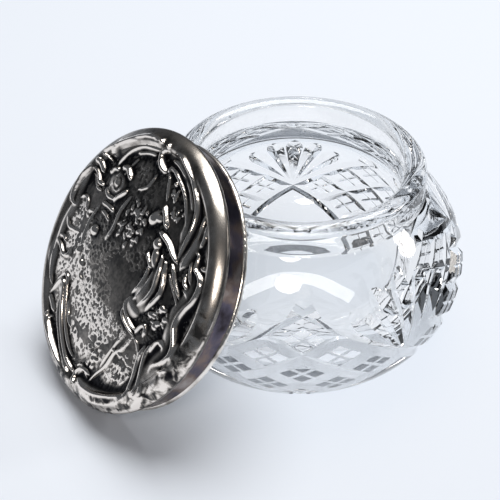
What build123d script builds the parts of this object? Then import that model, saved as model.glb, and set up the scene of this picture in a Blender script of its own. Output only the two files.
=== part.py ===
from build123d import *
import os
from math import acos, asin, atan2, cos, degrees, hypot, pi, radians, sin, sqrt, tan

# Cut-glass powder jar with a silver slip-on lid, in millimetres, +Z up.
# The origin is the centre of the jar's foot, on the table. The lid is off the jar: it stands
# on its rolled rim and leans towards +X against the lip, turned a little out of the XZ plane.

# --- glass bowl: a blown globe with a plain straight neck ---
jar_height = 65.1
foot_radius = 40.0
foot_edge_round = 1.5
belly_radius = 54.8
belly_height = 28.0
neck_radius = 40.6
neck_length = 9.7
neck_wall = 7.0
lip_round = 2.8
mouth_depth = 13.0
belly_wall = 13.0
floor_thickness = 12.0
floor_radius = 25.0

# --- cut pattern: five diamond fields, with a fan of flutes above each corner between them ---
field_count = 5
first_field_angle = -117.0
wheel_rim_share = 3.0
mitre_wheel_radius = 45.0
mitre_angle = 110.0
mitre_depth = 2.6
mitre_crossing_height = 21.0
mitre_apex_height = 41.0
mitre_foot_height = 4.0
fan_flutes = 5
fan_spread = 84.0
fan_reach = 24.0
fan_centre = 0.76
fan_depth = 2.4
fan_angle = 124.0
fan_wheel_radius = 24.0

# --- silver lid: stamped top, plain side band and rolled rim, in the lid's own axis ---
neck_clearance = 1.4
sheet = 0.7
wire_radius = 0.95
band_seat = 1.0
band_height = 8.6
crease_overhang = 1.5
crease_bulge = (0.8, 0.4)
shoulder_overhang = 0.9
shoulder_rise = 2.0
shoulder_bulge = 1.2
shoulder_width = 6.1
frame_rise = 2.2
dome_rise = 3.6

# --- how the lid stands: tilt of its axis from the vertical, turn about Z, and the gap to the lip ---
lid_tilt = 57.5
lid_turn = 4.0
lean_gap = 0.35
lean_search_steps = 720
outline_steps = 60
arc_steps = 12

neck_base = jar_height - neck_length
band_bore = neck_radius + neck_clearance
band_radius = band_bore + sheet
wire_centre = band_bore + sheet / 2
crease_radius = band_radius + crease_overhang
shoulder_radius = crease_radius + shoulder_overhang
shoulder_height = band_height + shoulder_rise
frame_radius = shoulder_radius - shoulder_width
frame_height = shoulder_height + frame_rise
lid_height = frame_height + dome_rise


def reach(radius, at_radius, at_height):
    """Height of a quarter ellipse of this radius that is at_height tall where it narrows to at_radius."""
    return at_height / sqrt(1 - (at_radius / radius) ** 2)


def globe_arc(radius, tall, start, sweep):
    """Part of an ellipse about the belly's centre; one that is taller than wide is drawn as a spline."""
    if tall < radius:
        return EllipticalCenterArc((0, belly_height), radius, tall, start, arc_size=sweep)
    turns = [radians(start + sweep * step / arc_steps) for step in range(arc_steps + 1)]
    points = [(radius * cos(turn), belly_height + tall * sin(turn)) for turn in turns]
    ends = [(-radius * sin(turn), tall * cos(turn)) for turn in (turns[0], turns[-1])]
    return Spline(points, tangents=ends)


def bowl_profile():
    """Half section of the blown blank: foot, globe, neck, rounded lip and the hollow inside."""
    upper = reach(belly_radius, neck_radius, neck_base - belly_height)
    lower = reach(belly_radius, foot_radius, belly_height)
    hollow = belly_radius - belly_wall
    mouth = neck_radius - neck_wall
    hollow_upper = reach(hollow, mouth, jar_height - mouth_depth - belly_height)
    hollow_lower = reach(hollow, floor_radius, belly_height - floor_thickness)
    foot_sweep = degrees(acos(foot_radius / belly_radius))
    floor_sweep = degrees(acos(floor_radius / hollow))
    with BuildSketch() as section:
        with BuildLine():
            foot = globe_arc(belly_radius, lower, -foot_sweep, foot_sweep)
            globe = globe_arc(belly_radius, upper, 0, degrees(acos(neck_radius / belly_radius)))
            inner_globe = globe_arc(hollow, hollow_upper, 0, degrees(acos(mouth / hollow)))
            inner_floor = globe_arc(hollow, hollow_lower, -floor_sweep, floor_sweep)
            Polyline(globe @ 1, (neck_radius, jar_height), (mouth, jar_height), inner_globe @ 1)
            Polyline(inner_floor @ 0, (0, floor_thickness), (0, 0), foot @ 0)
        make_face()
        corners = section.vertices()
        fillet([corner for corner in corners if abs(corner.Y - jar_height) < 1e-6], lip_round)
        fillet([corner for corner in corners if abs(corner.Y) < 1e-6 and corner.X > 1], foot_edge_round)
    return Plane.XZ * section.sketch


def globe_radius(height):
    """Radius of the blank's outside at this height."""
    if height > belly_height:
        tall = reach(belly_radius, neck_radius, neck_base - belly_height)
    else:
        tall = reach(belly_radius, foot_radius, belly_height)
    return belly_radius * sqrt(1 - ((height - belly_height) / tall) ** 2)


def surface_point(angle, height):
    """A point on the blank's outside, at an angle about Z in degrees."""
    radius = globe_radius(height)
    return Vector(radius * cos(radians(angle)), radius * sin(radians(angle)), height)


def surface_normal(angle, height):
    """The outward normal of the blank there."""
    step = 0.01
    slope = (globe_radius(height + step) - globe_radius(height - step)) / (2 * step)
    return Vector(cos(radians(angle)), sin(radians(angle)), -slope).normalized()


def wheel_cut(angle, height, heading, depth, radius, edge_angle):
    """A V-edged cutting wheel sunk into the blank, its groove turned by heading from upright."""
    normal = surface_normal(angle, height)
    level = Vector(-sin(radians(angle)), cos(radians(angle)), 0)
    upward = normal.cross(level)
    along = upward * cos(radians(heading)) + level * sin(radians(heading))
    rim = wheel_rim_share * depth
    flank = Cone(radius, radius - rim, rim * tan(radians(edge_angle / 2)),
                 align=(Align.CENTER, Align.CENTER, Align.MIN))
    wheel = flank + mirror(flank, Plane.XY)
    centre = surface_point(angle, height) + normal * (radius - depth)
    return Plane(origin=centre, z_dir=along.cross(normal)) * wheel


def mitre_cuts():
    """The four border mitres of each diamond field, two above its side corners and two below."""
    cuts = []
    field_step = 360 / field_count
    for field in range(field_count):
        middle = first_field_angle + field * field_step
        for side in (-1, 1):
            for top, bottom in ((mitre_apex_height, mitre_crossing_height),
                                (mitre_crossing_height, mitre_foot_height)):
                height = (top + bottom) / 2
                across = radians(field_step / 2) * globe_radius(height)
                lean = degrees(atan2(across, top - bottom)) * side
                if top == mitre_apex_height:
                    lean = -lean
                cuts.append(wheel_cut(middle + side * field_step / 4, height, lean,
                                      mitre_depth, mitre_wheel_radius, mitre_angle))
    return cuts


def fan_cuts():
    """The fan of tapered flutes that rises from each corner between two fields."""
    cuts = []
    field_step = 360 / field_count
    for corner in range(field_count):
        middle = first_field_angle + (corner + 0.5) * field_step
        for flute in range(fan_flutes):
            turn = (flute / (fan_flutes - 1) - 0.5) * fan_spread
            rise = fan_reach * cos(radians(turn)) * fan_centre
            height = mitre_crossing_height + rise
            aside = degrees(fan_reach * fan_centre * sin(radians(turn)) / globe_radius(height))
            cuts.append(wheel_cut(middle + aside, height, turn, fan_depth, fan_wheel_radius, fan_angle))
    return cuts


def glass_bowl():
    """The cut-glass jar: the blank less the cuts, ground one after another."""
    bowl = revolve(bowl_profile(), Axis.Z)
    for cut in mitre_cuts() + fan_cuts():
        bowl = bowl - cut
    return bowl


def ring(points):
    """A solid of revolution about the lid's axis from a closed outline of radius and height."""
    with BuildSketch() as section:
        with BuildLine():
            Polyline(points, close=True)
        make_face()
    return revolve(Plane.XZ * section.sketch, Axis.Z)


def lid_side_band():
    """Plain drawn band of sheet silver that slips over the glass neck."""
    low = wire_radius * band_seat
    return ring([(band_bore, low), (band_radius, low), (band_radius, band_height), (band_bore, band_height)])


def lid_rim_wire():
    """Rolled wire that stiffens the open edge, with the band's edge seated in it."""
    with BuildSketch() as section:
        with Locations((wire_centre, wire_radius)):
            Circle(wire_radius)
    return revolve(Plane.XZ * section.sketch, Axis.Z) - lid_side_band()


def lid_top():
    """Die-stamped top: overhanging crease, convex shoulder and low dome, one sheet thick."""
    dome_radius = (frame_radius ** 2 + dome_rise ** 2) / (2 * dome_rise)
    dome_centre = lid_height - dome_radius
    lining_scale = (dome_radius - sheet) / dome_radius
    half_angle = asin(frame_radius / dome_radius) / 2
    middle = (dome_radius * sin(half_angle), dome_centre + dome_radius * cos(half_angle))
    frame = (frame_radius, frame_height)
    slope = atan2(frame_height - shoulder_height, shoulder_radius - frame_radius)

    def lined(point):
        return point[0] * lining_scale, dome_centre + (point[1] - dome_centre) * lining_scale

    def shoulder_middle(bulge):
        return ((shoulder_radius + frame_radius) / 2 + bulge * sin(slope),
                (shoulder_height + frame_height) / 2 + bulge * cos(slope))

    def crease_middle(inset):
        return (crease_radius + (shoulder_radius - crease_radius) * crease_bulge[0] - inset,
                band_height + (shoulder_height - band_height) * crease_bulge[1] + inset / 2)

    with BuildSketch() as section:
        with BuildLine():
            crease = (crease_radius, band_height)
            edge = (shoulder_radius, shoulder_height)
            ThreePointArc(crease, crease_middle(0), edge)
            ThreePointArc(edge, shoulder_middle(shoulder_bulge), frame)
            ThreePointArc(frame, middle, (0, lid_height))
            Line((0, lid_height), (0, lid_height - sheet))
            ThreePointArc((0, lid_height - sheet), lined(middle), lined(frame))
            edge_lining = (shoulder_radius - sheet, shoulder_height)
            crease_lining = (crease_radius - sheet, band_height + sheet)
            ThreePointArc(lined(frame), shoulder_middle(shoulder_bulge - sheet), edge_lining)
            ThreePointArc(edge_lining, crease_middle(sheet), crease_lining)
            Polyline(crease_lining, (band_bore, band_height + sheet), (band_bore, band_height), crease)
        make_face()
    return revolve(Plane.XZ * section.sketch, Axis.Z)


def jar_gap(radius, height):
    """Distance from a point to the outside of the jar, or -1 inside it."""
    neck_top = jar_height - lip_round
    levels = [neck_top * step / outline_steps for step in range(outline_steps + 1)]
    outline = [(globe_radius(level) if level < neck_base else neck_radius, level) for level in levels]
    if height < neck_top and radius < (globe_radius(height) if height < neck_base else neck_radius):
        return -1
    gap = min(hypot(radius - side, height - level) for side, level in outline)
    return min(gap, hypot(radius - neck_radius + lip_round, height - neck_top) - lip_round)


def lean_offset():
    """Distance of the lid's mouth from the jar's axis, so that its rim and its lining clear the jar."""
    tilt = radians(lid_tilt)
    turn = radians(lid_turn)
    rest = mouth_height()
    rings = ((wire_centre, wire_radius, wire_radius + lean_gap), (band_bore, band_height, lean_gap),
             (frame_radius / 2, frame_height - sheet, lean_gap), (0, lid_height - sheet, lean_gap))

    def clear(offset):
        for radius, height, wanted in rings:
            for step in range(lean_search_steps if radius else 1):
                angle = 2 * pi * step / lean_search_steps
                up = radius * cos(angle)
                back = up * cos(tilt) - height * sin(tilt)
                aside = radius * sin(angle)
                x = back * cos(turn) - aside * sin(turn) - offset
                y = back * sin(turn) + aside * cos(turn)
                z = rest + height * cos(tilt) + up * sin(tilt)
                if jar_gap(hypot(x, y), z) < wanted:
                    return False
        return True

    near, far = 0.5 * neck_radius, 3.0 * belly_radius
    while far - near > 1e-4:
        middle = (near + far) / 2
        if clear(middle):
            far = middle
        else:
            near = middle
    return far


def mouth_height():
    """Height of the centre of the lid's mouth when the rolled rim stands on the table."""
    tilt = radians(lid_tilt)
    return wire_centre * sin(tilt) + wire_radius - wire_radius * cos(tilt)


lean = Pos(-lean_offset(), 0, mouth_height()) * Rot(0, 0, lid_turn) * Rot(0, -lid_tilt, 0)
pieces = {
    "glass_bowl": glass_bowl(),
    "lid_top": lean * lid_top(),
    "lid_side_band": lean * lid_side_band(),
    "lid_rim_wire": lean * lid_rim_wire(),
}
print("lid mouth centre", lean.position)

os.makedirs("parts", exist_ok=True)
for name, piece in pieces.items():
    piece.label = name
    export_step(piece, f"parts/{name}.step")
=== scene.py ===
from math import acos, atan2, cos, pi, radians, sin, sqrt, tan

import bpy
import numpy as np
from mathutils import Matrix, Vector


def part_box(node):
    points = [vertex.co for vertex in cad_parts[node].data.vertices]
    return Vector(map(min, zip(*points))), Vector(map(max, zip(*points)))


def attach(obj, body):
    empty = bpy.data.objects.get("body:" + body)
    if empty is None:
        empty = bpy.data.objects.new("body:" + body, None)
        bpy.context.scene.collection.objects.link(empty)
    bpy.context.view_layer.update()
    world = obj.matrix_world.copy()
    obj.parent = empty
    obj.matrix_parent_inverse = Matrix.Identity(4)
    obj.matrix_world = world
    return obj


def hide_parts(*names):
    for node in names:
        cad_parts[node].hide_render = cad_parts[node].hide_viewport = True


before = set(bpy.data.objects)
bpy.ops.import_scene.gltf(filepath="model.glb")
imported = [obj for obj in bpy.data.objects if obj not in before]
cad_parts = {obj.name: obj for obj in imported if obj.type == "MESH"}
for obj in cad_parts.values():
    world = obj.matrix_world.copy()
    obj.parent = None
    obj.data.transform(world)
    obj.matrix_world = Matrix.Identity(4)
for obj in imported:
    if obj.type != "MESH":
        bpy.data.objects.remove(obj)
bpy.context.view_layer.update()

# ---------------------------------------------------------------------------------------------
# Glass bowl: one thick piece of blown lead glass, foot, globe, neck and rounded lip.
# The blank is turned from its half section, then every cut is ground in with a V-edged wheel:
# mitres that cross into diamond fields, a coarse and a fine grid in each, and fans of flutes.
# ---------------------------------------------------------------------------------------------
MM = 0.001
bowl_low, bowl_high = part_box("glass_bowl")
belly_radius = (bowl_high.x - bowl_low.x) / 2
jar_height = bowl_high.z
belly_height = 28.0 * MM
foot_radius = 40.0 * MM
foot_round = 1.5 * MM
neck_radius = 40.6 * MM
neck_base = jar_height - 9.7 * MM
neck_root_round = 1.2 * MM
mouth_radius = 33.6 * MM
mouth_depth = 13.0 * MM
belly_wall = 13.0 * MM
hollow_radius = belly_radius - belly_wall
floor_thickness = 12.0 * MM
floor_radius = 25.0 * MM
lip_flatness = 0.8
foot_rings = (12 * MM, 24 * MM, 34 * MM)
first_field = -117.0
field_step = 72.0
turn_steps = 288


def quarter(radius, edge_radius, rise, steps, upward):
    """Points of an ellipse about the belly's height, from the belly in to edge_radius."""
    tall = rise / sqrt(1 - (edge_radius / radius) ** 2)
    swing = acos(edge_radius / radius)
    side = 1 if upward else -1
    return [(radius * cos(t), belly_height + side * tall * sin(t)) for t in np.linspace(0, swing, steps)]


def turned(name, profile, steps):
    """A closed surface of revolution about Z whose profile starts and ends on the axis."""
    angles = np.linspace(0, 2 * pi, steps, endpoint=False)
    points = [(0, 0, profile[0][1])]
    for radius, height in profile[1:-1]:
        points += [(radius * cos(a), radius * sin(a), height) for a in angles]
    points.append((0, 0, profile[-1][1]))
    faces = [(0, 1 + (k + 1) % steps, 1 + k) for k in range(steps)]
    for ring in range(len(profile) - 3):
        low, high = 1 + ring * steps, 1 + (ring + 1) * steps
        faces += [(low + k, low + (k + 1) % steps, high + (k + 1) % steps, high + k) for k in range(steps)]
    top, last = len(points) - 1, 1 + (len(profile) - 3) * steps
    faces += [(top, last + k, last + (k + 1) % steps) for k in range(steps)]
    mesh = bpy.data.meshes.new(name)
    mesh.from_pydata(points, [], faces)
    mesh.update()
    return mesh


def arc(centre, radius, start, end, steps):
    """Points of a circular arc in the half section, angles in degrees."""
    turns = np.radians(np.linspace(start, end, steps))
    return [(centre[0] + radius * cos(t), centre[1] + radius * sin(t)) for t in turns]


lower = quarter(belly_radius, foot_radius, belly_height, 22, False)[::-1]
upper = quarter(belly_radius, neck_radius, neck_base - belly_height, 22, True)
hollow_low = quarter(hollow_radius, floor_radius, belly_height - floor_thickness, 14, False)
hollow_top = quarter(hollow_radius, mouth_radius, jar_height - mouth_depth - belly_height, 14, True)[::-1]
lip_radius = (neck_radius - mouth_radius) / 2
lip_height = jar_height - lip_radius * lip_flatness
lip_arc = arc((neck_radius - lip_radius, lip_height), lip_radius, 0, 180, 17)
hollow_start = hollow_top[0][1]
bowl_profile = [(0, 0)] + [(radius, 0) for radius in foot_rings]
bowl_profile += [(foot_radius - foot_round, 0), (foot_radius - 0.4 * foot_round, 0.25 * foot_round)]
bowl_profile += lower[1:] + upper[1:-1]
bowl_profile += [(neck_radius + 0.25 * MM, neck_base + 0.1 * MM), (neck_radius, neck_base + neck_root_round)]
bowl_profile += [(neck_radius, h) for h in np.linspace(neck_base + 3 * MM, lip_height - 1 * MM, 4)]
bowl_profile += [(r, lip_height + (h - lip_height) * lip_flatness) for r, h in lip_arc]
bowl_profile += [(mouth_radius, h) for h in np.linspace(lip_height - 1 * MM, hollow_start + 1.5 * MM, 5)]
bowl_profile += [(mouth_radius + 0.3 * MM, hollow_start + 0.2 * MM)] + hollow_top[1:] + hollow_low[1:]
bowl_profile += [(19 * MM, floor_thickness - 0.5 * MM), (11 * MM, floor_thickness - 0.9 * MM)]
bowl_profile += [(0, floor_thickness - 1.0 * MM)]
bowl = bpy.data.objects.new("cut_glass_bowl", turned("cut_glass_bowl", bowl_profile, turn_steps))
bpy.context.collection.objects.link(bowl)


def blank_radius(height):
    """Radius of the blank's globe at these heights."""
    up = (neck_base - belly_height) / sqrt(1 - (neck_radius / belly_radius) ** 2)
    down = belly_height / sqrt(1 - (foot_radius / belly_radius) ** 2)
    tall = np.where(height > belly_height, up, down)
    return belly_radius * np.sqrt(1 - ((height - belly_height) / tall) ** 2)


girth_heights = np.linspace(0, neck_base, 400)
girth_steps = np.hypot(np.diff(blank_radius(girth_heights)), np.diff(girth_heights))
girth = np.concatenate([[0], np.cumsum(girth_steps)])


def on_globe(angle, along):
    """Points and normals of the globe at angles in degrees and distances up its side from the foot."""
    height = np.interp(along, girth, girth_heights)
    radius = blank_radius(height)
    hair = 1e-5
    slope = (blank_radius(height + hair) - blank_radius(height - hair)) / (2 * hair)
    turn = np.radians(angle)
    points = np.stack([radius * np.cos(turn), radius * np.sin(turn), height], -1)
    normals = np.stack([np.cos(turn), np.sin(turn), -slope], -1)
    return points, normals / np.linalg.norm(normals, axis=1, keepdims=True)


def v_cut(points, normals, depth, edge_angle, proud=2.5 * MM):
    """The glass that a V-edged wheel removes along a path: a closed three-sided prism."""
    along = np.gradient(points, axis=0)
    across = np.cross(along, normals)
    across /= np.linalg.norm(across, axis=1, keepdims=True)
    half = ((depth + proud) * tan(radians(edge_angle / 2)))[:, None]
    tip = points - normals * depth[:, None]
    top = points + normals * proud
    rows = np.stack([tip, top - across * half, top + across * half], 1).reshape(-1, 3)
    count = len(points)
    faces = [(2, 1, 0), (3 * count - 3, 3 * count - 2, 3 * count - 1)]
    for k in range(count - 1):
        here, there = 3 * k, 3 * k + 3
        faces += [(here + i, here + (i + 1) % 3, there + (i + 1) % 3, there + i) for i in range(3)]
    return rows, faces


def grind(name, cuts):
    """Takes a set of cuts that don't touch each other out of the bowl."""
    points, faces = [], []
    for rows, sides in cuts:
        start = sum(len(p) for p in points)
        points.append(rows)
        faces += [tuple(i + start for i in side) for side in sides]
    mesh = bpy.data.meshes.new(name)
    mesh.from_pydata(np.concatenate(points).tolist(), [], faces)
    wheel = bpy.data.objects.new(name, mesh)
    bpy.context.collection.objects.link(wheel)
    cut = bowl.modifiers.new(name, "BOOLEAN")
    cut.operation, cut.solver, cut.object = "DIFFERENCE", "MANIFOLD", wheel
    return wheel


apex_along = np.interp(41.0 * MM, girth_heights, girth)
corner_along = np.interp(21.0 * MM, girth_heights, girth)
bottom_along = np.interp(2.0 * MM, girth_heights, girth)
mitre_depth, mitre_angle = 1.8 * MM, 112
# Each grid in a field: its shares across the field, depth, edge angle and how far it runs past the edges.
grids = {
    "coarse": ((1 / 3, 2 / 3), 1.5 * MM, 116, 0.0),
    "fine": ((1 / 6, 3 / 6, 5 / 6), 0.5 * MM, 100, -0.03),
}
fields = [first_field + field_step * k for k in range(5)]
wheels = []


def in_field(middle, right, left):
    """Angle and distance up the side of a point in a diamond field; both shares run from 0 at its top."""
    angle = middle + (right - left) * field_step / 2
    down = right + left
    upper_part = apex_along + (corner_along - apex_along) * down
    lower_part = corner_along + (bottom_along - corner_along) * (down - 1)
    return angle, np.where(down < 1, upper_part, lower_part)


def straight_cuts(share, leaning, depth, angle, over):
    """The five like cuts at one share across the fields, running past their edges by a share."""
    cuts = []
    run = np.linspace(-over, 1 + over, 40)
    for middle in fields:
        fixed = np.full_like(run, share)
        place = in_field(middle, fixed, run) if leaning > 0 else in_field(middle, run, fixed)
        cuts.append(v_cut(*on_globe(*place), np.full_like(run, depth), angle))
    return cuts


for leaning in (1, -1):
    tag = "right" if leaning > 0 else "left"
    mitres = []
    for middle in fields:
        run = np.linspace(-0.06, 1.04, 50) * 2
        place = in_field(middle, run, 0 * run) if leaning > 0 else in_field(middle, 0 * run, run)
        mitres.append(v_cut(*on_globe(*place), np.full_like(run, mitre_depth), mitre_angle))
    wheels.append(grind("mitres_" + tag, mitres))
    for style, (shares, depth, angle, over) in grids.items():
        for share in shares:
            cuts = straight_cuts(share, leaning, depth, angle, over)
            wheels.append(grind(f"{style}_{tag}_{share:.1f}", cuts))

fan_turns = (-42, -21, 0, 21, 42)
fan_length = 29 * MM
fan_depth, fan_angle = 2.5 * MM, 122
fan_swell, fan_end_share = 0.9, 0.2
fan_start_depth, fan_proud = 0.02 * MM, 0.8 * MM
for turn in fan_turns:
    flutes = []
    for middle in fields:
        run = np.linspace(0.05, 1.0, 30)
        reach = fan_length * run
        along = corner_along + reach * cos(radians(turn))
        radius = blank_radius(np.interp(along, girth, girth_heights))
        aside = np.cumsum(np.gradient(reach) * sin(radians(turn)) / radius)
        angle = middle + field_step / 2 + np.degrees(aside)
        ending = np.sqrt(np.clip((1 - run) / fan_end_share, 0, 1))
        deep = fan_depth * run ** fan_swell * ending + fan_start_depth
        flutes.append(v_cut(*on_globe(angle, along), deep, fan_angle, fan_proud))
    wheels.append(grind(f"flutes_{turn}", flutes))

bpy.context.view_layer.update()
ground = bpy.data.meshes.new_from_object(bowl.evaluated_get(bpy.context.evaluated_depsgraph_get()))
bowl.modifiers.clear()
bowl.data = ground
for wheel in wheels:
    bpy.data.objects.remove(wheel)
ground.polygons.foreach_set("use_smooth", [True] * len(ground.polygons))
ground.set_sharp_from_angle(angle=radians(14))


class Sock:
    """A shader socket with arithmetic: values go through Math nodes, colours through Vector Math."""

    def __init__(self, tree, socket):
        self.tree, self.socket = tree, socket

    def math(self, operation, other, swapped=False):
        vector = self.socket.type in ("RGBA", "VECTOR")
        kind = "ShaderNodeVectorMath" if vector else "ShaderNodeMath"
        pair = [other, self] if swapped else [self, other]
        return node(self.tree, kind, {"operation": operation}, dict(enumerate(pair)))[0]

    def __add__(self, other):
        return self.math("ADD", other)

    def __radd__(self, other):
        return self.math("ADD", other, True)

    def __sub__(self, other):
        return self.math("SUBTRACT", other)

    def __rsub__(self, other):
        return self.math("SUBTRACT", other, True)

    def __mul__(self, other):
        return self.math("MULTIPLY", other)

    def __rmul__(self, other):
        return self.math("MULTIPLY", other, True)

    def at_least(self, other):
        return self.math("MAXIMUM", other)

    def at_most(self, other):
        return self.math("MINIMUM", other)


def node(tree, kind, settings=None, inputs=None):
    """Adds a node, sets what it is, then links or sets its sockets; gives its outputs."""
    made = tree.nodes.new(kind)
    for name, value in (settings or {}).items():
        if name == "stops":
            ramp = made.color_ramp
            while len(ramp.elements) < len(value):
                ramp.elements.new(0.5)
            for element, (place, colour) in zip(ramp.elements, value):
                element.position, element.color = place, colour
        else:
            setattr(made, name, value)
    for name, value in (inputs or {}).items():
        if isinstance(value, Sock):
            tree.links.new(value.socket, made.inputs[name])
        else:
            made.inputs[name].default_value = value
    return [Sock(tree, socket) for socket in made.outputs]


def material(name):
    """An empty node material and its tree."""
    made = bpy.data.materials.new(name)
    made.use_nodes = True
    made.node_tree.nodes.clear()
    return made, made.node_tree


lead_glass, tree = material("lead_glass")
glass_shader = node(tree, "ShaderNodeBsdfPrincipled", None, {
    "Base Color": (1.0, 0.995, 0.985, 1), "Roughness": 0.0, "IOR": 1.545, "Transmission Weight": 1.0})[0]
clear = node(tree, "ShaderNodeBsdfTransparent", None, {"Color": (0.97, 0.98, 0.99, 1)})[0]
shadow_ray, diffuse_ray = node(tree, "ShaderNodeLightPath")[1:3]
let_through = shadow_ray.at_least(diffuse_ray)
glass_mix = node(tree, "ShaderNodeMixShader", None, {0: let_through, 1: glass_shader, 2: clear})[0]
node(tree, "ShaderNodeOutputMaterial", None, {"Surface": glass_mix})
ground.materials.clear()
ground.materials.append(lead_glass)
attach(bowl, "jar")
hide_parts("glass_bowl")

# ---------------------------------------------------------------------------------------------
# Lid top: die-stamped sheet silver, 0.7 mm thick. A low dome carries relief of scrolled
# ribbons, a rose spray, a tree and a dancing figure on pitted ground, inside a plain shoulder.
# It is oxidised black in the hollows and rubbed bright on what stands up.
# ---------------------------------------------------------------------------------------------
lid_tilt, lid_turn = radians(57.5), radians(4.0)
sheet = 0.7 * MM
wire_radius = 0.95 * MM
band_bore, band_height = 42.0 * MM, 8.6 * MM
crease_radius, shoulder_radius = 44.2 * MM, 45.1 * MM
shoulder_height, shoulder_bulge = 10.6 * MM, 1.2 * MM
frame_radius, frame_height, lid_height = 39.0 * MM, 12.8 * MM, 16.4 * MM
wire_low, wire_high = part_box("lid_rim_wire")
lid_axis = Vector((-sin(lid_tilt) * cos(lid_turn), -sin(lid_tilt) * sin(lid_turn), cos(lid_tilt)))
lid_up = Vector((cos(lid_tilt) * cos(lid_turn), cos(lid_tilt) * sin(lid_turn), sin(lid_tilt)))
lid_side = Vector((-sin(lid_turn), cos(lid_turn), 0))
mouth_centre = (wire_low + wire_high) / 2 - lid_axis * wire_radius
grid = 281
grid_step = grid // 140

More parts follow.
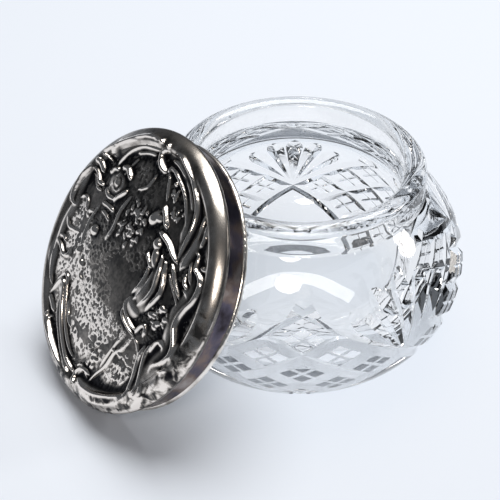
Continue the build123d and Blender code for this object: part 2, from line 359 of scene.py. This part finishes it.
# Each ridge: how high it stands, half its width, and the line that it follows, in mm across and up.
ridges = [
    # broad moulded bands that the bright lines run along
    (0.75, 3.4, [(-9, 38.2), (-15, 36.8), (-20, 34.4), (-24.5, 31), (-28.5, 27.5), (-31, 24.5)]),
    (0.7, 2.6, [(0, 38.3), (6, 37.6), (11, 35.4), (15.5, 31.8), (18.8, 27), (20.6, 22), (22, 17)]),
    (0.7, 2.4, [(23, 30), (24.6, 26), (25.2, 20), (24.5, 15)]),
    (0.7, 2.8, [(29, 19.5), (33, 14.5), (33.4, 9), (32.5, 3), (34, -3), (35.6, -8), (34, -13),
                (31.5, -19), (31, -25), (29.5, -29)]),
    (0.8, 3.0, [(29.5, -28), (25, -33), (19, -36.5), (12, -38.3), (5, -38.3)]),
    (0.7, 3.0, [(-27.5, -24), (-24, -20.8), (-20.5, -21.5), (-17, -26.5), (-12.5, -31.5), (-7, -36),
                (-1, -38.2)]),
    (0.7, 2.2, [(-37, 15), (-37.5, 9), (-36.5, 4), (-37, -4), (-36, -10), (-34.5, -16), (-30, -23)]),
    (0.6, 2.4, [(16, 12), (18.2, 8), (19, 3), (18, -2), (15, -6)]),
    # upper left crescent panel
    (1.5, 0.7, [(-10, 40), (-16, 38.7), (-20, 36.5), (-24, 33.5), (-28, 30), (-31, 27), (-33, 24.5),
                (-33.4, 23.2), (-32, 23), (-28.5, 22.8)]),
    (1.3, 0.6, [(-20, 35.3), (-26, 31.3), (-29.6, 27), (-30, 25), (-28.3, 25)]),
    (1.4, 0.7, [(-9, 37.2), (-16, 35), (-20, 32.3), (-22.5, 29.5), (-24, 26.5), (-25.2, 23)]),
    (0.9, 0.7, [(-10, 35.2), (-14, 33.8), (-19, 31)]),
    (0.5, 0.5, [(-17, 30), (-17.8, 28), (-18, 26.5)]),
    # top hook and the band that runs into the right ribbons
    (1.5, 1.1, [(-5.3, 39), (-7.6, 38), (-8, 36.5), (-6.8, 34.8), (-4.5, 33.6), (-1.8, 33.3)]),
    (0.8, 0.5, [(-9, 34.3), (-6, 33.3), (-3, 33)]),
    (1.6, 0.9, [(-2, 40), (1, 40.6), (4, 40.2), (8, 38.8), (12, 36.8), (15, 34.8), (18, 32.3), (20, 29.5),
                (21.3, 26), (21.8, 22), (22.3, 17), (23, 15.5)]),
    (1.3, 0.6, [(8, 36.3), (12, 34.6), (15, 32.5), (18, 30.3)]),
    (1.3, 0.6, [(-2, 37.7), (2, 37.8), (6, 37), (8, 36.4)]),
    (1.1, 0.7, [(-2, 35.6), (2, 35.3), (6, 34.3), (10, 32.7), (13, 30.8), (16, 28), (19, 25)]),
    (1.1, 0.8, [(22.5, 32), (23.8, 29), (24.7, 26), (25, 22), (25, 14.2)]),
    (0.9, 0.7, [(25.5, 30), (26.8, 27.5), (27.3, 25), (27.2, 23.5)]),
    # right flame scroll and its volute
    (1.7, 1.0, [(27, 22), (28.5, 21.5), (29.3, 19.5), (30.5, 17.8), (33, 17.3), (35, 15.5), (35.5, 12.5),
                (35.3, 9.5), (34.3, 6.5), (33.8, 3), (34.3, 0), (36, -2.5), (37.8, -6), (37.5, -9),
                (36, -11.5), (33.5, -14), (33, -16.5), (32.4, -18)]),
    (0.9, 0.6, [(27.5, 19), (29, 16), (31.5, 13.2)]),
    (0.9, 0.6, [(28, 15), (29, 12.3), (31.5, 11.5)]),
    (0.9, 0.6, [(30, 10.5), (32.5, 10.2), (33.5, 8.8)]),
    (0.9, 0.7, [(36, -14.3), (38.5, -13), (40, -11)]),
    (1.1, 0.7, [(34, -9), (33.8, -7), (32.5, -6.3), (31, -7.5), (30.2, -9.5), (30, -12)]),
    # lower right ribbons
    (1.2, 0.8, [(29, -9.5), (28.8, -13), (29.5, -17), (30.5, -20.5), (31.7, -24), (31.8, -27.5)]),
    (1.2, 0.8, [(27.3, -11), (27, -16), (27.8, -21), (28.5, -26), (28.8, -29)]),
    (0.9, 0.6, [(33.3, -21), (34, -24), (33, -27)]),
    (0.8, 0.5, [(26.5, -22), (25, -26), (23.5, -28)]),
    (1.7, 1.0, [(28, -29), (25, -31.5), (21, -34), (16, -36.5), (10, -38), (5, -38.3)]),
    (1.1, 0.8, [(29, -30), (26, -34), (21, -37.5), (16, -39.8), (12, -39.3)]),
    (0.9, 0.8, [(36, -23), (33, -30), (28, -35), (22, -38.5), (15, -40.7)]),
    (1.2, 0.8, [(10, -34), (7, -34), (4.5, -35.5), (3.3, -37.5), (4, -39.5), (6, -40.2)]),
    (0.8, 0.5, [(10, -35.5), (7, -34.8), (5, -36.5), (4.5, -38)]),
    (0.6, 0.4, [(2, -36), (3.5, -34.3), (6, -33.2)]),
    # lower left frame
    (1.6, 1.0, [(-27.5, -26.5), (-25.5, -23), (-23.5, -20), (-21.5, -18.8), (-20, -20), (-18, -23),
                (-15, -27.5), (-12, -31), (-8, -34.5), (-4, -37), (0, -38), (3, -38)]),
    (1.1, 0.7, [(-27, -21.5), (-25, -19), (-23, -16.7), (-21, -16.3), (-19.5, -17.5), (-18, -20),
                (-15.5, -23.5), (-12, -28), (-8, -31.5), (-4, -34), (0, -35)]),
    (0.9, 0.6, [(-15, -21.5), (-13, -24), (-11, -26.5), (-8.5, -28)]),
    (1.1, 0.7, [(-22, -24), (-20.5, -24.5), (-19, -27), (-16.5, -30.5), (-13, -33.5), (-9, -36.5),
                (-4, -38.8), (0, -39.7)]),
    (1.0, 0.8, [(-24, -31), (-22.5, -33.5), (-20.5, -35), (-16, -37), (-10, -39), (-4, -40.5)]),
    (0.8, 0.5, [(-20, -31.2), (-21.8, -32.5), (-20.5, -34), (-16, -36.5)]),
    (1.0, 1.0, [(-27, -27), (-24, -28.3), (-21, -30)]),
    # left cartouches
    (1.3, 0.9, [(-36, 16.5), (-33.5, 16.8), (-31, 15.8), (-29, 14.8), (-26, 15.2)]),
    (1.0, 0.6, [(-35, 15), (-33, 15.3), (-31, 14), (-28.5, 12.9), (-26, 13.3)]),
    (1.2, 1.3, [(-36, 20), (-33, 19.3), (-30, 18)]),
    (1.3, 0.9, [(-37, 17), (-39, 12), (-39.5, 8), (-39.3, 5), (-38.5, 2.7), (-36, 2.5), (-35, 4)]),
    (1.0, 0.7, [(-35.3, 5.5), (-33, 7.5), (-30.5, 7.3), (-29, 5.5), (-28.8, 4)]),
    (0.8, 0.9, [(-38, -1), (-34, -4.5), (-29, -3.5), (-26.5, -2.5)]),
    (1.3, 0.9, [(-37, -11), (-33, -11.5), (-29, -12.7), (-26.5, -11.8), (-26, -10), (-27, -9)]),
    (1.0, 0.7, [(-36, -9.5), (-33.5, -8.5), (-31, -9)]),
    (1.0, 0.8, [(-36, -14), (-34, -18), (-31, -22), (-28, -24)]),
    # rose, its leaves and stems
    (1.4, 0.9, [(-22, 24.3), (-18.5, 25.3), (-14.5, 23.5)]),
    (1.2, 0.8, [(-13, 20.5), (-14.5, 18), (-16, 16), (-16.8, 14)]),
    (1.2, 0.8, [(-26.5, 19.5), (-25, 22), (-22.5, 23)]),
    (1.2, 0.9, [(-24, 15.6), (-20.5, 14.2), (-17, 15)]),
    (1.0, 0.5, [(-22.6, 19), (-21, 21.8), (-18, 22), (-16.5, 19.8), (-18, 17.4), (-21, 17.2)]),
    (0.9, 0.8, [(-22, 11), (-18, 11.8), (-14, 12)]),
    (0.8, 0.6, [(-20, 9), (-17, 9.2), (-14, 8.5)]),
    (0.8, 0.5, [(-22.5, 10), (-23.5, 4), (-23, -1), (-22, -5)]),
    (0.9, 0.8, [(-26.2, 3.2), (-26, 5.5), (-24, 6.7)]),
    (0.9, 0.8, [(-15, -11.5), (-14, -12.5), (-12.5, -13)]),
    (0.7, 0.5, [(-14, -16), (-13, -17), (-12.5, -18.5)]),
    # tree trunk and branches
    (0.7, 0.7, [(-10, 20), (-11, 14), (-10, 8), (-11, 3)]),
    (0.6, 0.5, [(-5, 31), (-5.5, 26), (-9, 23)]),
    (0.6, 0.5, [(-5, 16.8), (-2, 18.3), (0, 19)]),
    # the dancer: staff, arms, folds of the dress and sash
    (0.7, 0.4, [(-1, 34), (0.7, 32.7), (3, 30), (5.5, 27)]),
    (1.5, 0.9, [(6, 26), (7.4, 24.8), (9, 23.5), (12, 21)]),
    (1.5, 0.9, [(10, 18.8), (13, 18.6), (17, 17.8), (20, 16.5), (23, 15.3)]),
    (1.1, 0.6, [(10, 11.5), (13, 9.5), (15, 8.6)]),
    (1.1, 0.5, [(21, 14.5), (23, 13), (26, 10.5), (30.5, 7.5)]),
    (0.9, 0.4, [(22, 11.6), (25, 9.4), (29, 7), (31, 5.3)]),
    (1.3, 0.8, [(16, 14), (18, 11), (19, 8), (20, 4), (19.4, 0), (17, -4)]),
    (1.3, 0.8, [(18.5, 13.5), (20.5, 10.5), (22, 8), (23, 5), (22.5, 2), (21, -3)]),
    (1.0, 0.6, [(13.5, 10), (14.3, 6), (14, 2), (12.4, -2)]),
    (1.0, 0.6, [(16.2, 9), (16.8, 5), (16, 1), (14.4, -4)]),
    (1.2, 0.7, [(12, -4), (12.3, -6.5), (15, -8.5), (18, -9.7), (21, -10)]),
    (1.1, 0.6, [(12, -7), (12.5, -9), (15, -10.5), (19, -11.5), (21, -12)]),
    (0.9, 0.6, [(21, -11), (22, -8), (23.5, -6.5), (24.5, -8), (24.5, -10)]),
    (0.8, 0.5, [(21, -12), (24, -13), (26, -15), (27, -17.5), (27.5, -21)]),
    (1.1, 0.6, [(21, -12.5), (19, -18), (17, -21), (15.5, -27), (13, -31.5), (10.5, -36)]),
    (0.9, 0.5, [(17.5, -12), (15.5, -20), (15, -21.5), (13, -29)]),
    (1.0, 0.6, [(15, -21), (17.5, -20.2), (20, -20.3)]),
]

# Each lump: how high it stands, its place, its half length and half width in mm, its turn in degrees.
lumps = [
    (1.3, -10, 40, 1.2, 1.0, 0), (1.3, -6, 40.3, 1.0, 0.9, 0), (1.1, 32.7, -7, 1.3, 1.2, 0),
    (1.0, 38.4, -6, 1.8, 3.6, 8), (1.1, 32.8, 19.5, 1.6, 0.9, 10), (1.7, -19.5, 19.7, 1.9, 1.8, 0),
    (0.7, -19.7, 19.5, 5.6, 5.2, 0), (1.3, -18.5, 2.5, 2.4, 1.9, 20), (1.1, -21.5, -7, 1.9, 1.4, 40),
    (1.1, -17, -9, 1.9, 1.4, -30), (0.8, -1.3, 34.6, 0.9, 0.9, 0), (1.5, 5.0, 20.6, 2.2, 2.8, -30),
    (1.2, 7.2, 21.6, 2.0, 1.3, 30), (1.5, 12.0, 15.6, 2.0, 2.2, 30), (1.3, 14.3, 11.6, 1.7, 3.4, 35),
    (0.9, 17.5, 1.0, 4.6, 6.4, 10), (0.8, 15.5, -5.0, 4.2, 3.6, 0), (1.2, 5, 33, 1.0, 0.9, 0),
    (0.9, 26.5, 1.5, 1.4, 1.2, 0), (0.9, 29.5, -0.5, 1.3, 1.2, 0), (0.9, 27.0, -4.5, 1.3, 1.2, 0),
    (0.9, 23.5, -2.5, 1.2, 1.1, 0), (1.1, 8.5, -29, 1.6, 1.5, 0),
]

# Clusters of small leaves and petals: how high, centre, reach, how many and how large each is, in mm.
clusters = [
    (0.8, -3, 14, 6.5, 7.5, 70, 0.8), (0.9, 7, 30, 2.2, 1.8, 10, 0.8), (0.9, 12.5, 26.5, 2.8, 2.4, 16, 0.8),
    (1.0, 8.5, -29, 3.4, 3.2, 14, 1.0), (0.9, 4, -28, 1.8, 1.6, 7, 0.8), (0.9, 10, -25.5, 1.8, 1.6, 7, 0.8),
    (0.9, 8, -23, 1.6, 1.4, 6, 0.8), (0.9, 27, -1.5, 4.2, 4.0, 22, 0.9), (0.8, 22, -20, 1.5, 1.4, 6, 0.7),
    (0.8, 21, -24, 1.5, 1.4, 6, 0.7), (0.8, 20, -28, 1.5, 1.4, 6, 0.7), (1.0, -19.7, 19.5, 4.6, 4.4, 12, 1.0),
    (0.8, 6.5, 22.6, 2.4, 1.8, 10, 0.7),
]

square = np.linspace(-1, 1, grid)
across, upward = np.meshgrid(square, square, indexing="ij")
wide = np.abs(across) > np.abs(upward)
safe_across = np.where(across == 0, 1, across)
safe_upward = np.where(upward == 0, 1, upward)
swing = np.where(wide, pi / 4 * upward / safe_across, pi / 2 - pi / 4 * across / safe_upward)
spread = np.where(wide, across, upward)
side_mm = spread * np.cos(swing) * shoulder_radius / MM
rise_mm = spread * np.sin(swing) * shoulder_radius / MM
radius_mm = np.abs(spread) * shoulder_radius / MM


def smooth_line(points, step=0.25):
    """Points close together along a smooth curve through these."""
    points = np.array([points[0]] + list(points) + [points[-1]], float)
    line = []
    for k in range(1, len(points) - 2):
        before, start, end, after = points[k - 1:k + 3]
        count = max(2, int(np.linalg.norm(end - start) / step))
        t = np.linspace(0, 1, count, endpoint=False)[:, None]
        line.append(0.5 * (2 * start + (end - before) * t
                           + (2 * before - 5 * start + 4 * end - after) * t ** 2
                           + (3 * start - before - 3 * end + after) * t ** 3))
    return np.concatenate(line + [points[-1:]])


def blurred(field, reach):
    """The field averaged over a square of vertices, twice."""
    for _ in range(2):
        for axis in (0, 1):
            padded = np.pad(field, [(reach + 1, reach) if k == axis else (0, 0) for k in (0, 1)], mode="edge")
            total = np.cumsum(padded, axis=axis)
            count = field.shape[axis]
            ahead = np.take(total, range(2 * reach + 1, 2 * reach + 1 + count), axis=axis)
            behind = np.take(total, range(count), axis=axis)
            field = (ahead - behind) / (2 * reach + 1)
    return field


ridge_end_share, ridge_end_least, ridge_end_height = 0.2, 0.05, 0.25
ridge_spread, ridge_crown = 1.15, 0.95
relief = np.zeros(side_mm.shape)
for height, half, points in ridges:
    line = smooth_line(points)
    low, high = line.min(0) - 3, line.max(0) + 3
    box = (side_mm > low[0]) & (side_mm < high[0]) & (rise_mm > low[1]) & (rise_mm < high[1])
    a, b = side_mm[box], rise_mm[box]
    away = np.hypot(a[:, None] - line[None, :, 0], b[:, None] - line[None, :, 1])
    closest = away.argmin(1)
    share = closest / (len(line) - 1)
    taper = np.sqrt(np.clip(np.minimum(share, 1 - share) / ridge_end_share, ridge_end_least, 1))
    inside = np.clip(1 - (away.min(1) / (half * taper * ridge_spread)) ** 2, 0, 1)
    lift = height * (ridge_end_height + (1 - ridge_end_height) * taper)
    relief[box] = np.maximum(relief[box], lift * inside ** ridge_crown)
lump_crown = 0.8
for height, a, b, long, broad, turn in lumps:
    t = radians(turn)
    x = (side_mm - a) * cos(t) + (rise_mm - b) * sin(t)
    y = (rise_mm - b) * cos(t) - (side_mm - a) * sin(t)
    inside = np.clip(1 - (x / long) ** 2 - (y / broad) ** 2, 0, 1)
    relief = np.maximum(relief, height * inside ** lump_crown)
leaf_width_share, leaf_crown = 0.6, 0.6
seeded = np.random.default_rng(7)
for height, a, b, long, broad, count, size in clusters:
    for _ in range(count):
        far, turn = sqrt(seeded.random()), seeded.random() * 2 * pi
        x, y = a + long * far * cos(turn), b + broad * far * sin(turn)
        half = size * (0.6 + 0.7 * seeded.random())
        lean = seeded.random() * pi
        p = (side_mm - x) * cos(lean) + (rise_mm - y) * sin(lean)
        q = (rise_mm - y) * cos(lean) - (side_mm - x) * sin(lean)
        inside = np.clip(1 - (p / half) ** 2 - (q / (half * leaf_width_share)) ** 2, 0, 1)
        relief = np.maximum(relief, height * (0.6 + 0.4 * seeded.random()) * inside ** leaf_crown)

# The stamping is softened, the field inside the shoulder is sunk, and the bare ground is pitted.
crisp_share = 0.45
sunk_reach, sunk_slope, sunk_depth = 40.5, 4.5, 0.75
bare_below = 0.25
pit_count, pit_reach = 2600, 38.5
wave_count, wave_height = 14, 0.045
relief = crisp_share * relief + (1 - crisp_share) * blurred(relief, grid_step // 2)
within = np.clip((sunk_reach - radius_mm) / sunk_slope, 0, 1)
sunk = sunk_depth * within * within * (3 - 2 * within)
bare = np.clip(1 - relief / bare_below, 0, 1) * within
pits = np.zeros(side_mm.shape)
for _ in range(pit_count):
    far, turn = pit_reach * sqrt(seeded.random()), seeded.random() * 2 * pi
    x, y = far * cos(turn), far * sin(turn)
    size = 0.45 + 0.35 * seeded.random()
    near = (np.abs(side_mm - x) < size) & (np.abs(rise_mm - y) < size)
    inside = np.clip(1 - ((side_mm[near] - x) ** 2 + (rise_mm[near] - y) ** 2) / size ** 2, 0, 1)
    pits[near] = np.maximum(pits[near], (0.10 + 0.16 * seeded.random()) * inside)
wander = np.zeros(side_mm.shape)
for _ in range(wave_count):
    turn, pitch, start = seeded.random() * 2 * pi, 0.09 + 0.25 * seeded.random(), seeded.random() * 2 * pi
    wave = np.sin((side_mm * cos(turn) + rise_mm * sin(turn)) * pitch + start)
    wander += wave * wave_height / (1 + 8 * pitch)
stamped = relief - sunk - pits * bare + wander

frame_mm, shoulder_mm = frame_radius / MM, shoulder_radius / MM
dome_rise = (lid_height - frame_height) / MM
dome_curve = (frame_mm ** 2 + dome_rise ** 2) / (2 * dome_rise)
dome = lid_height / MM - (dome_curve - np.sqrt(dome_curve ** 2 - np.minimum(radius_mm, frame_mm) ** 2))
part = np.clip((radius_mm - frame_mm) / (shoulder_mm - frame_mm), 0, 1)
shoulder_fall = 1.6
shoulder = (frame_height + (shoulder_height - frame_height) * part ** shoulder_fall) / MM
shoulder += shoulder_bulge / MM * 4 * part * (1 - part)
stamped_reach, stamped_slope = 44.4, 1.5
fading = np.clip((stamped_reach - radius_mm) / stamped_slope, 0, 1)
height_mm = np.where(radius_mm < frame_mm, dome, shoulder) + stamped * fading

# How far each place is rubbed bright: what stands up most, and a patch of the ground lower left.
proud = stamped - blurred(stamped, 4 * grid_step)
proud_fine = stamped - blurred(stamped, 2 * grid_step)
worn = np.clip(0.60 + proud * 0.55 + proud_fine * 1.1, 0, 1)
worn = np.where(radius_mm > frame_mm, np.clip(worn, 0.48, 1), worn)
rub_line = np.interp(side_mm, [-30, -22, -15, -8, 0, 14], [9, 5, -4, -9, -11.5, -12])
rubbed_ground = np.clip((rub_line - rise_mm) / 3, 0, 1) * np.clip((rise_mm + 33) / 4, 0, 1)
worn = np.clip(worn + bare * (0.40 * rubbed_ground - 0.12 * (1 - rubbed_ground)), 0, 1)
spots = np.clip((side_mm - rise_mm - 22) / 16, 0, 1) * np.clip((radius_mm - 39.6) / 1.5, 0, 1)

outline = [(i, 0) for i in range(grid - 1)] + [(grid - 1, j) for j in range(grid - 1)]
outline += [(i, grid - 1) for i in range(grid - 1, 0, -1)] + [(0, j) for j in range(grid - 1, 0, -1)]
edge_count = len(outline)
edge_turn = np.array([atan2(rise_mm[i, j], side_mm[i, j]) for i, j in outline])
crease_mm, bore_mm, base_mm = crease_radius / MM, band_bore / MM, band_height / MM
frame_lining, dome_lining = (frame_height - sheet) / MM, (lid_height - sheet) / MM
# Rings of the edge and the lining, from the shoulder round the crease to the middle: radius and height.
under = [(shoulder_mm + 0.1, base_mm + 1.5), (shoulder_mm, base_mm + 1.0), (shoulder_mm - 0.3, base_mm + 0.4),
         (crease_mm, base_mm), (bore_mm, base_mm), (bore_mm, base_mm + 1.0), (crease_mm - 0.6, base_mm + 1.5),
         (crease_mm - 0.3, base_mm + 2.1), (frame_mm + 2.6, frame_lining), (frame_mm - 0.5, frame_lining),
         (26.0, dome_lining - 1.6), (12.0, dome_lining - 0.4), (1.0, dome_lining)]
lining_wear = 0.45
rows = [np.stack([side_mm.ravel(), rise_mm.ravel(), height_mm.ravel()], -1)]
patina = [worn.ravel()]
for radius, height in under:
    level = np.full(edge_count, height)
    rows.append(np.stack([radius * np.cos(edge_turn), radius * np.sin(edge_turn), level], -1))
    patina.append(np.full(edge_count, lining_wear))
plan = np.concatenate(rows) * MM
patina = np.concatenate(patina)
index = np.arange(grid * grid).reshape(grid, grid)
cells = np.stack([index[:-1, :-1], index[1:, :-1], index[1:, 1:], index[:-1, 1:]], -1).reshape(-1, 4).tolist()
ring = [index[i, j] for i, j in outline]
next_edge = [(m + 1) % edge_count for m in range(edge_count)]
for k in range(len(under)):
    below = list(range(grid * grid + k * edge_count, grid * grid + (k + 1) * edge_count))
    cells += [(ring[m], below[m], below[n], ring[n]) for m, n in enumerate(next_edge)]
    ring = below
cells.append(ring[::-1])


def stand(plan_points):
    """Places points of the lid, given across, up and out of its mouth, where the lid stands."""
    across_row = -np.array(lid_side)
    return (np.array(mouth_centre) + plan_points[:, :1] * across_row + plan_points[:, 1:2] * np.array(lid_up)
            + plan_points[:, 2:] * np.array(lid_axis))


top_mesh = bpy.data.meshes.new("relief_top")
top_mesh.from_pydata(stand(plan).tolist(), [], cells)
top_mesh.polygons.foreach_set("use_smooth", [True] * len(top_mesh.polygons))
top_mesh.set_sharp_from_angle(angle=radians(60))
plain_rest = np.zeros(len(patina) - spots.size)
masks = {"rubbed": patina, "spotted": np.concatenate([spots.ravel(), plain_rest]),
         "pitted": np.concatenate([bare.ravel(), plain_rest])}
for name, values in masks.items():
    top_mesh.attributes.new(name, "FLOAT", "POINT").data.foreach_set("value", values)
top = bpy.data.objects.new("relief_top", top_mesh)
bpy.context.collection.objects.link(top)

oxidised, tree = material("oxidised_silver")
object_place, attribute_value = 3, 2
place = node(tree, "ShaderNodeTexCoord")[object_place]
rub = node(tree, "ShaderNodeAttribute", {"attribute_name": "rubbed"})[attribute_value]
ground_mask = node(tree, "ShaderNodeAttribute", {"attribute_name": "pitted"})[attribute_value]
blotches = node(tree, "ShaderNodeTexNoise", None, {
    "Vector": place, "Scale": 140.0, "Detail": 6.0, "Roughness": 0.6})[0]
grime = node(tree, "ShaderNodeTexNoise", None, {"Vector": place, "Scale": 900.0, "Detail": 4.0})[0]
spot_mask = node(tree, "ShaderNodeAttribute", {"attribute_name": "spotted"})[attribute_value]
stains = node(tree, "ShaderNodeTexNoise", None, {
    "Vector": place, "Scale": 330.0, "Detail": 3.0, "Distortion": 0.6})[0]
sharp_stains = ((stains - 0.5) * 9.0).at_least(-1.0).at_most(1.0)
wear = rub + (blotches - 0.5) * 0.45 + (grime - 0.5) * 0.15 + sharp_stains * spot_mask * 0.26
tone = node(tree, "ShaderNodeValToRGB", {"stops": [
    (0.22, (0.012, 0.012, 0.015, 1)), (0.42, (0.10, 0.095, 0.09, 1)), (0.58, (0.40, 0.365, 0.33, 1)),
    (0.80, (0.92, 0.85, 0.78, 1))]}, {0: wear})[0]
rough = node(tree, "ShaderNodeMapRange", None, {"Value": wear, "From Min": 0.2, "From Max": 0.8,
                                                "To Min": 0.45, "To Max": 0.14})[0]
small_bumps = node(tree, "ShaderNodeTexNoise", None, {"Vector": place, "Scale": 1400.0, "Detail": 3.0})[0]
dents = node(tree, "ShaderNodeTexNoise", None, {"Vector": place, "Scale": 90.0, "Detail": 2.0})[0]
hammered = small_bumps * ground_mask * 0.35 + dents * 0.35
pressed = node(tree, "ShaderNodeBump", None, {"Strength": 0.5, "Distance": 0.0006, "Height": hammered})[0]
silver = node(tree, "ShaderNodeBsdfPrincipled", None, {
    "Base Color": tone, "Metallic": 1.0, "Roughness": rough, "Normal": pressed})[0]
node(tree, "ShaderNodeOutputMaterial", None, {"Surface": silver})
top_mesh.materials.append(oxidised)
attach(top, "lid")
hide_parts("lid_top")

# ---------------------------------------------------------------------------------------------
# Side band: a plain ring of drawn sheet silver, soldered under the top, that slips over the neck.
# It is tarnished blue and brown, because it is rubbed less than the rest.
# ---------------------------------------------------------------------------------------------


def clad(piece, name, blotch_scale, stops, roughness):
    """Gives a piece of the lid its blotched silver in place of the material that it came with."""
    made, tree = material(name)
    place = node(tree, "ShaderNodeTexCoord")[object_place]
    blotches = node(tree, "ShaderNodeTexNoise", None, {
        "Vector": place, "Scale": blotch_scale, "Detail": 5.0})[0]
    tone = node(tree, "ShaderNodeValToRGB", {"stops": stops}, {0: blotches})[0]
    silver = node(tree, "ShaderNodeBsdfPrincipled", None, {
        "Base Color": tone, "Metallic": 1.0, "Roughness": roughness})[0]
    node(tree, "ShaderNodeOutputMaterial", None, {"Surface": silver})
    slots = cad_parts[piece].data.materials
    slots.clear()
    slots.append(made)


tarnish = [(0.30, (0.03, 0.025, 0.03, 1)), (0.45, (0.10, 0.09, 0.12, 1)), (0.55, (0.20, 0.15, 0.13, 1)),
           (0.72, (0.45, 0.40, 0.38, 1))]
clad("lid_side_band", "tarnished_silver", 110.0, tarnish, 0.2)

# ---------------------------------------------------------------------------------------------
# Rolled rim: the open edge of the band, rolled round a silver wire that stiffens it.
# The bead is worn bright by handling, with dark left only in the small hollows of the metal.
# ---------------------------------------------------------------------------------------------
bright_wear = [(0.30, (0.12, 0.11, 0.10, 1)), (0.42, (0.62, 0.57, 0.52, 1)), (0.6, (0.94, 0.89, 0.83, 1))]
clad("lid_rim_wire", "worn_silver", 160.0, bright_wear, 0.22)

# ---------------------------------------------------------------------------------------------
# Table, light and camera: a pale seamless sheet of paper, much larger than the jar, under one
# broad soft lamp overhead, a warm one in front and a small one at the right, in a dim cool room.
# ---------------------------------------------------------------------------------------------
sheet_mesh = bpy.data.meshes.new("pale_table")
reach = 1.6
sheet_mesh.from_pydata([(-reach, -reach, 0), (reach, -reach, 0), (reach, reach, 0), (-reach, reach, 0)], [],
                       [(0, 1, 2, 3)])
table = bpy.data.objects.new("pale_table", sheet_mesh)
bpy.context.collection.objects.link(table)
paper, tree = material("pale_paper")
paper_shader = node(tree, "ShaderNodeBsdfPrincipled", None, {
    "Base Color": (0.78, 0.825, 0.90, 1), "Roughness": 0.9, "Specular IOR Level": 0.1})[0]
node(tree, "ShaderNodeOutputMaterial", None, {"Surface": paper_shader})
sheet_mesh.materials.append(paper)

world = bpy.data.worlds.new("soft_room")
bpy.context.scene.world = world
world.use_nodes = True
tree = world.node_tree
tree.nodes.clear()
sky = node(tree, "ShaderNodeBackground", None, {"Color": (0.80, 0.88, 1.0, 1), "Strength": 0.10})[0]
node(tree, "ShaderNodeOutputWorld", None, {"Surface": sky})

lamp_aim = Vector((0, 0, 0.03))


def lamp(name, place, size, power, colour):
    """A round soft lamp that faces the jar."""
    data = bpy.data.lights.new(name, "AREA")
    data.shape, data.size, data.energy, data.color = "DISK", size, power, colour
    made = bpy.data.objects.new(name, data)
    made.location = place
    made.rotation_euler = (lamp_aim - Vector(place)).to_track_quat("-Z", "Y").to_euler()
    bpy.context.collection.objects.link(made)


lamp("ceiling_light", (0.25, 0.30, 1.25), 1.1, 17.5, (1.0, 0.99, 0.97))
lamp("front_light", (-0.55, -0.75, 0.85), 0.35, 3.0, (1.0, 0.93, 0.86))
lamp("side_light", (0.75, -0.35, 0.45), 0.22, 1.2, (1.0, 0.95, 0.90))

view_azimuth, view_elevation, view_roll = -27.31, 36.60, 0.16
view_distance = 0.460
view_target = Vector((-0.01408, 0.00727, 0.02813))
focal_share = 1374.36 / 500
turn, rise = radians(view_azimuth), radians(view_elevation)
back = Vector((sin(turn) * cos(rise), -cos(turn) * cos(rise), sin(rise)))
right = Vector((cos(turn), sin(turn), 0))
up = back.cross(right)
roll = radians(view_roll)
right, up = right * cos(roll) + up * sin(roll), up * cos(roll) - right * sin(roll)
camera_data = bpy.data.cameras.new("camera")
camera_data.sensor_width = 36.0
camera_data.lens = 36.0 * focal_share
camera = bpy.data.objects.new("camera", camera_data)
camera.matrix_world = Matrix((
    (right.x, up.x, back.x, view_target.x + view_distance * back.x),
    (right.y, up.y, back.y, view_target.y + view_distance * back.y),
    (right.z, up.z, back.z, view_target.z + view_distance * back.z),
    (0, 0, 0, 1)))
bpy.context.collection.objects.link(camera)
bpy.context.scene.camera = camera
bpy.context.scene.view_settings.view_transform = "Standard"
